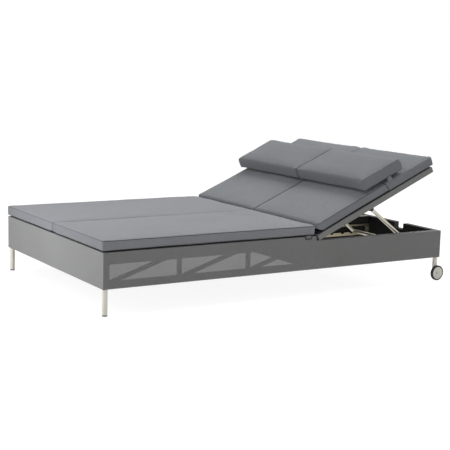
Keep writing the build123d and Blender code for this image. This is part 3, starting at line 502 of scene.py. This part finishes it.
def soften(co, low, high, corner, edge):
    """Rounds a block's corners seen from above, then its top and bottom edges by each point's own radius."""
    core = np.clip(co[:, :2], low[:2] + corner, high[:2] - corner)
    d = co[:, :2] - core
    reach = np.abs(d).max(axis=1)
    way = d / np.maximum(np.linalg.norm(d, axis=1), 1e-9)[:, None]
    r0 = np.minimum(reach, corner - edge)
    z0 = np.clip(co[:, 2], low[2] + edge, high[2] - edge)
    dr, dz = reach - r0, co[:, 2] - z0
    scale = np.maximum(np.abs(dr), np.abs(dz)) / np.maximum(np.hypot(dr, dz), 1e-9)
    return np.column_stack((core + way * (r0 + dr * scale)[:, None], z0 + dz * scale))


def laid_box(node, laid):
    """Lowest and highest corners of a CAD node, laid flat where it belongs to a backrest."""
    co = points(nodes[node])
    if laid is not None:
        m = np.array(laid)
        co = co @ m[:3, :3].T + m[:3, 3]
    return co.min(axis=0), co.max(axis=0)


def fit(co, low, high):
    """Stretches points to fill a box."""
    least, most = co.min(axis=0), co.max(axis=0)
    return low + (co - least) * (high - low) / (most - least)


def inflate(obj, pressure, cap):
    """Blows the cushion up as cloth and holds every point within cap of where it started."""
    start = points(obj)
    mod = obj.modifiers.new("cloth", "CLOTH")
    s = mod.settings
    s.quality = 4
    s.mass = 0.3
    s.use_pressure = True
    s.uniform_pressure_force = pressure
    s.tension_stiffness = 15
    s.compression_stiffness = 15
    s.bending_stiffness = 0.8
    s.effector_weights.gravity = 0
    mod.collision_settings.use_collision = False
    scene = bpy.context.scene
    for f in range(1, SIMULATED_FRAMES + 1):
        scene.frame_set(f)
    apply_modifiers(obj)
    scene.frame_set(1)
    move = points(obj) - start
    far = np.linalg.norm(move, axis=1, keepdims=True)
    set_points(obj, start + move * np.minimum(1, cap / np.maximum(far, 1e-9)))


def box_cushion(
    name,
    node,
    mat,
    laid,
    crown=0.007,
    droop=0.003,
    belly=0.0,
    draw=0.005,
    inner_draw=0.05,
    slope=0.0,
    nose=0.0,
    overhang=0.0,
    dip=0.0,
    notch=0.0,
    corner=0.009,
    top_edge=TOP_EDGE,
    low_edge=LOW_EDGE,
    inner_edge=0.0025,
):
    """A sewn box cushion in the space of its left CAD solid: crowned, drawn in at its sides, then blown up.

    Its bottom is flat and droops at the rim, or sags by belly between raised rims. A slope leans the foot end
    back and a nose lifts its bottom. A dip and a notch lower the head end's outer and inner top corners."""
    low, high = laid_box(node, laid)
    low = low - (overhang, 0, droop)
    high[1] = -INNER_SIDE
    block_low, block_high = low + (0, 0, belly), high - (0, 0, crown)
    co, quads = lattice([rows(block_low[i], block_high[i]) for i in range(3)])
    mid, half = (block_low + block_high) / 2, (block_high - block_low) / 2
    share = (co - mid) / half
    sx, sy, sz = share.T
    edge = np.where(sy > 0.9, inner_edge, np.where(sz < 0, low_edge, top_edge))
    co = soften(co, block_low, block_high, corner, edge)
    dome = (1 - np.abs(sx) ** 3) * (1 - np.abs(sy) ** 3)
    rest = droop * (1 - np.abs(sy) ** 24) * (1 - np.abs(sx) ** 48) - belly * dome
    rest += nose * np.clip((-sx - 0.90) / 0.10, 0, 1) ** 1.6
    crown_dip = dip * np.clip(sx, 0, 1) ** 12 * np.clip(-sy, 0, 1) ** 16
    crown_dip += notch * (np.clip(sx, 0, 1) * np.clip(sy, 0, 1)) ** 24
    co[:, 2] += (crown * dome - crown_dip) * (1 + sz) / 2 + rest * (1 - sz) / 2
    pull = draw * np.where(sy > 0, inner_draw * (1 - sx) ** 2, 1)
    co[:, 1] -= pull * sy * (1 - sx**2) - BULGE * sy * (1 - sz**2)
    co[:, 0] -= draw * sx * (1 - sy**2) / 2 - BULGE * sx * (1 - sz**2)
    co[:, 0] += slope * (1 + sz) / 2 * np.clip(-sx, 0, 1) ** 6
    obj = link_mesh(name, co, quads, mat)
    inflate(obj, pressure=4.0, cap=0.005)
    co = points(obj)
    co[:, 2] = np.maximum(co[:, 2], block_low[2] + rest)
    set_points(obj, fit(co, low, high))
    return obj


def sideways(obj, outer, inner):
    """Moves a cushion's outer and inner sides across, by one amount at its foot and another at its head."""
    co = points(obj)
    x, y = co[:, 0], co[:, 1]
    along = (x - x.min()) / (x.max() - x.min())
    across = np.abs(y) / np.abs(y).max()
    moves = [a + (b - a) * along for a, b in (outer, inner)]
    co[:, 1] += moves[0] * across + moves[1] * (1 - across)
    set_points(obj, co)


def mirrored(obj, name):
    """The same cushion for the other half."""
    data = obj.data.copy()
    data.transform(Matrix.Scale(-1, 4, (0, 1, 0)))
    data.flip_normals()
    other = bpy.data.objects.new(name, data)
    bpy.context.collection.objects.link(other)
    return other


def rumple(obj, seed, seam):
    """Soft waves over the cloth, small puckers beside the top seam and a groove along it."""
    co = points(obj)
    normals = np.empty(co.size)
    obj.data.vertices.foreach_get("normal", normals)
    normals = normals.reshape(-1, 3)
    low, high = co.min(axis=0), co.max(axis=0)
    edge_z = high[2] - seam
    side = np.minimum(co - low, high - co)
    rim = np.minimum(side[:, 0], side[:, 1])
    away = np.hypot(np.maximum(rim - SEAM_RIM, 0), co[:, 2] - edge_z)
    to_corner = np.hypot(side[:, 0], side[:, 1])
    pucker = np.exp(-away / 0.013) * (1 + 2.2 * np.exp(-to_corner / 0.06))
    lift = np.empty(len(co))
    for i, (x, y, z) in enumerate(co):
        broad = noise3(Vector((x * 6, y * 6, seed)))
        fine = noise3(Vector((x * 48, y * 48, z * 16 + seed)))
        lift[i] = 0.0018 * broad + 0.0015 * pucker[i] * fine
    width, depth = 0.0022, 0.0010
    groove = np.exp(-(((co[:, 2] - edge_z) / width) ** 2)) * (rim < SEAM_RIM)
    lift -= depth * groove
    set_points(obj, co + normals * lift[:, None])


def tube(name, path, radius, mat, closed=False, sides=6):
    """A smooth tube through the points."""
    path = [Vector(p) for p in path]
    n = len(path)
    verts, faces = [], []
    last = None
    for i, p in enumerate(path):
        a = path[(i - 1) % n] if closed or i else p
        b = path[(i + 1) % n] if closed or i < n - 1 else p
        t = (b - a).normalized()
        if last is None:
            last = t.orthogonal().normalized()
        side = (last - t * last.dot(t)).normalized()
        last = side
        up = t.cross(side)
        for k in range(sides):
            w = 2 * pi * k / sides
            verts.append(p + radius * (cos(w) * side + sin(w) * up))
    for i in range(n if closed else n - 1):
        for k in range(sides):
            j = (i + 1) % n
            k2 = (k + 1) % sides
            faces.append((i * sides + k, i * sides + k2, j * sides + k2, j * sides + k))
    if not closed:
        faces.append(tuple(range(sides))[::-1])
        faces.append(tuple((n - 1) * sides + k for k in range(sides)))
    return link_mesh(name, verts, faces, mat)


def follow(body, loop, z):
    """Moves each point of a level loop onto the nearest point of the cushion's surface."""
    tree = BVHTree.FromObject(body, bpy.context.evaluated_depsgraph_get())
    return [tree.find_nearest(Vector((x, y, z)))[0] for x, y in loop]


def perimeter(x0, x1, y0, y1, step=0.008, corner=0.010, arc=4):
    """A level rounded rectangle as a list of points."""
    out = []
    left, right, front, rear = x0 + corner, x1 - corner, y0 + corner, y1 - corner
    centres = ((right, rear, 0), (left, rear, 90), (left, front, 180), (right, front, 270))
    for i, (cx, cy, a0) in enumerate(centres):
        for k in range(arc + 1):
            a = radians(a0 + 90 * k / arc)
            out.append(Vector((cx + corner * cos(a), cy + corner * sin(a))))
        nx, ny, na = centres[(i + 1) % 4]
        b = radians(na)
        end = Vector((nx + corner * cos(b), ny + corner * sin(b)))
        start = out[-1]
        count = max(1, int((end - start).length / step))
        out += [start.lerp(end, k / count) for k in range(1, count)]
    return out


def dress(piece, body, laid=None):
    """Puts a laid-flat piece back in its place and makes it ride."""
    if laid is not None:
        piece.data.transform(laid)
    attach(piece, body)


def seams(obj, name, heights, radii):
    """Piped seams round a laid-flat cushion, one at each height, a little uneven."""
    low, high = extent(obj)
    out = []
    for i, (z, radius) in enumerate(zip(heights, radii)):
        inset = 0.002
        path = follow(obj, perimeter(low[0] + inset, high[0] - inset, low[1] + inset, high[1] - inset), z)
        path = [p + Vector((0, 0, 0.0010 * noise3(Vector((p.x * 22, p.y * 22, z * 50))))) for p in path]
        out.append(tube(f"{name}_{i + 1}", path, radius, piping_cloth, closed=True))
    return out


def hood_hem(name, hood):
    """A hem along the slanted front edge of a laid-flat hood."""
    tree = BVHTree.FromObject(hood, bpy.context.evaluated_depsgraph_get())
    low, high = extent(hood)
    out = []
    bottom, shoulder, top = low[2] + 0.002, high[2] - 0.008, high[2]
    runs = (
        (low[1], low[1], bottom, shoulder),
        (low[1], high[1], top, top),
        (high[1], high[1], shoulder, bottom),
    )
    for y0, y1, z0, z1 in runs:
        count = 24 if y0 != y1 else 8
        for k in range(count):
            t = (k + 0.5) / count
            z = z0 + (z1 - z0) * t
            x = HINGE.x + HOOD_START - HOOD_SLANT * (z - low[2]) / (high[2] - low[2])
            out.append(tree.find_nearest(Vector((x + 0.001, y0 + (y1 - y0) * t, z)))[0])
    return tube(name, out, 0.0011, piping_cloth)


def hood_cover(name, pad):
    """A cloth hood drawn over the head end of a laid-flat back cushion, cut off along a slant."""
    obj = bpy.data.objects.new(name, pad.data.copy())
    bpy.context.collection.objects.link(obj)
    low, high = extent(obj)
    bm = bmesh.new()
    bm.from_mesh(obj.data)
    ahead = Vector((HINGE.x + HOOD_START, 0, low[2]))
    slant = Vector((high[2] - low[2], 0, HOOD_SLANT)).normalized()
    everything = bm.verts[:] + bm.edges[:] + bm.faces[:]
    bmesh.ops.bisect_plane(bm, geom=everything, plane_co=ahead, plane_no=slant, clear_inner=True)
    bm.normal_update()
    under = [f for f in bm.faces if f.normal.z < -0.7 and f.calc_center_median().z < low[2] + 0.006]
    bmesh.ops.delete(bm, geom=under, context="FACES")
    bm.normal_update()
    clearance, lip, lip_width = 0.0006, 0.0018, 0.010
    for v in bm.verts:
        behind = max(0.0, slant.dot(v.co - ahead))
        v.co += v.normal * (clearance + lip * np.exp(-behind / lip_width))
    bm.to_mesh(obj.data)
    bm.free()
    mod = obj.modifiers.new("cloth_thickness", "SOLIDIFY")
    mod.thickness = 0.0014
    mod.offset = 1
    apply_modifiers(obj)
    obj.data.materials.clear()
    obj.data.materials.append(hood_cloth)
    return obj


def pillow_loops(name, hood):
    """Two short cloth loops at the hood's front edge that hold the pillow, one at each side."""
    low, high = extent(hood)
    out = []
    outline = [(0, 0), (0.003, 0.014), (0.009, 0.027), (0.028, 0.027), (0.032, 0.014), (0.036, 0)]
    n, strips, strip, inset = len(outline), 4, 0.005, 0.0006
    for i, (y, way) in enumerate(((low[1], 1), (high[1], -1))):
        x0, z0 = HINGE.x + HOOD_START + 0.001, high[2] - 0.014
        verts, faces = [], []
        for k in range(strips + 1):
            bow = 0.0015 * sin(pi * k / strips)
            verts += [(x0 + a, y + way * (inset + strip * k - bow), z0 + b) for a, b in outline]
        for k in range(strips):
            a, b = k * n, (k + 1) * n
            faces += [(a + j, a + (j + 1) % n, b + (j + 1) % n, b + j) for j in range(n)]
        faces += [tuple(range(n))[::-1], tuple(strips * n + j for j in range(n))]
        if way > 0:
            faces = [f[::-1] for f in faces]
        out.append(link_mesh(f"{name}_{i + 1}", verts, faces, hood_cloth, smooth=False))
    return out


# How far the right half's outer sides and both halves' inner sides are moved, at the foot and at the head,
# and how far the top seam lies below the crown

OUTER = {"seat": (0.006, 0.020), "back": (0.018, 0.026), "pillow": (0.022, 0.030)}
INNER = {"seat": (-0.022, -0.007), "back": (0, 0), "pillow": (0, 0)}
SEAM_DROP = {"seat": 0.007 + SEAM_UP, "back": 0.007 + SEAM_UP, "pillow": 0.013 + SEAM_UP}

masters = {
    "seat": box_cushion(
        "left_seat_pad",
        "left_seat_cushion",
        seat_cloth,
        None,
        overhang=FOOT_OVERHANG,
        inner_draw=1.0,
        dip=0.007,
        corner=0.014,
        inner_edge=0.012,
    ),
    "back": box_cushion(
        "left_back_pad",
        "left_back_cushion",
        back_cloth,
        FLAT,
        droop=0.0005,
        slope=0.018,
        nose=0.026,
        notch=0.012,
        inner_edge=0.006,
    ),
    "pillow": box_cushion(
        "left_pillow_pad",
        "left_pillow",
        pillow_cloth,
        FLAT,
        crown=0.013,
        droop=0.0,
        belly=0.0115,
        draw=0.004,
        dip=0.008,
        corner=0.016,
        top_edge=0.012,
        low_edge=0.005,
        inner_edge=0.004,
    ),
}
for side, sign in SIDES.items():
    pads = {k: m if side == "left" else mirrored(m, f"right_{k}_pad") for k, m in masters.items()}
    if side == "left":  # the left half uses up the masters, so the right one gets copies
        masters = {k: m.copy() for k, m in masters.items()}
        for m in masters.values():
            m.data = m.data.copy()
    seat, back, pillow = pads.values()
    for i, (kind, pad) in enumerate(pads.items()):
        sideways(pad, OUTER[kind] if side == "right" else (0, 0), INNER[kind])
        rumple(pad, 3.7 * i + 11 * sign, SEAM_DROP[kind])
    low = extent(seat)[0]
    heights = (low[2] + SEAM_HEIGHT - SEAM_UP, low[2] + LOW_SEAM)
    rings = seams(seat, f"{side}_seat_seam", heights, (0.0015, 0.0009))
    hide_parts(f"{side}_seat_cushion")
    for piece in (seat, *rings):
        dress(piece, "base")

    low = extent(back)[0]
    heights = (low[2] + SEAM_HEIGHT - SEAM_UP, low[2] + LOW_SEAM)
    rings = seams(back, f"{side}_back_seam", heights, (0.0013, 0.0009))
    hood = hood_cover(f"{side}_hood_cloth", back)
    rings += [hood_hem(f"{side}_hood_hem", hood), *pillow_loops(f"{side}_pillow_loop", hood)]
    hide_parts(f"{side}_back_cushion")
    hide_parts(f"{side}_hood")
    for piece in (back, hood, *rings):
        dress(piece, f"{side}_backrest", RAISED)

    low, high = extent(pillow)
    heights = (high[2] - SEAM_DROP["pillow"], low[2] + PILLOW_LOW_SEAM)
    rings = seams(pillow, f"{side}_pillow_seam", heights, (0.0011, 0.0009))
    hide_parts(f"{side}_pillow")
    for piece in (pillow, *rings):
        dress(piece, f"{side}_backrest", RAISED)
for m in masters.values():
    bpy.data.objects.remove(m)

finish_nodes(tab_cloth(), "cushion_tabs")

# Floor, world and lamps


def looked_at(tree):
    """1 for a ray from the camera, or one that gloss or glass sends on."""
    path = add(tree, "LightPath").outputs
    direct = maths(tree, "MAXIMUM", path["Is Camera Ray"], path["Is Glossy Ray"])
    return maths(tree, "MAXIMUM", direct, path["Is Transmission Ray"])


def floor():
    s = 14.0
    corners = [(-s, -s, 0), (s, -s, 0), (s, s, 0), (-s, s, 0)]
    obj = link_mesh("floor", corners, [(0, 1, 2, 3)], None, smooth=False)
    m = bpy.data.materials.new("pale_floor")
    m.use_nodes = True
    tree = m.node_tree
    tree.nodes.clear()
    seen = looked_at(tree)
    plain = add(tree, "BsdfDiffuse", Color=(0.66, 0.66, 0.66, 1))
    pale = add(tree, "BsdfDiffuse", Color=(0.25, 0.25, 0.25, 1))
    glow = add(tree, "Emission", Color=(1, 1, 1, 1), Strength=0.91)
    shown = add(tree, "AddShader", pale.outputs[0], glow.outputs[0])
    mix = add(tree, "MixShader", seen, plain.outputs[0], shown.outputs[0])
    add(tree, "OutputMaterial", mix.outputs[0])
    obj.data.materials.clear()
    obj.data.materials.append(m)


def world():
    w = bpy.data.worlds.new("studio")
    bpy.context.scene.world = w
    w.use_nodes = True
    tree = w.node_tree
    tree.nodes.clear()
    seen = looked_at(tree)
    light = add(tree, "Background", Color=(1.0, 1.0, 1.0, 1), Strength=0.36)
    white = add(tree, "Background", Color=(1, 1, 1, 1), Strength=1.0)
    mix = add(tree, "MixShader", seen, light.outputs[0], white.outputs[0])
    add(tree, "OutputWorld", mix.outputs[0])


floor()
world()
camera()
lamp("overhead", (2.2, 0.4, 4.4), (0.0, 0, 0.3), (3.0, 2.6), 136)
lamp("foot_overhead", (-1.6, 0.1, 2.4), (-1.0, 0, 0.3), (1.2, 1.4), 12)
lamp("foot_light", (-2.25, 0.05, 0.62), (-1.05, 0, 0.24), (0.7, 1.6), 13.5, (0.985, 0.99, 1.0))
lamp("near_light", (-0.5, -5.5, 1.6), (0, 0, 0.2), (3.0, 1.6), 38, (1.0, 0.995, 0.96))
bpy.context.scene.view_settings.view_transform = "Standard"
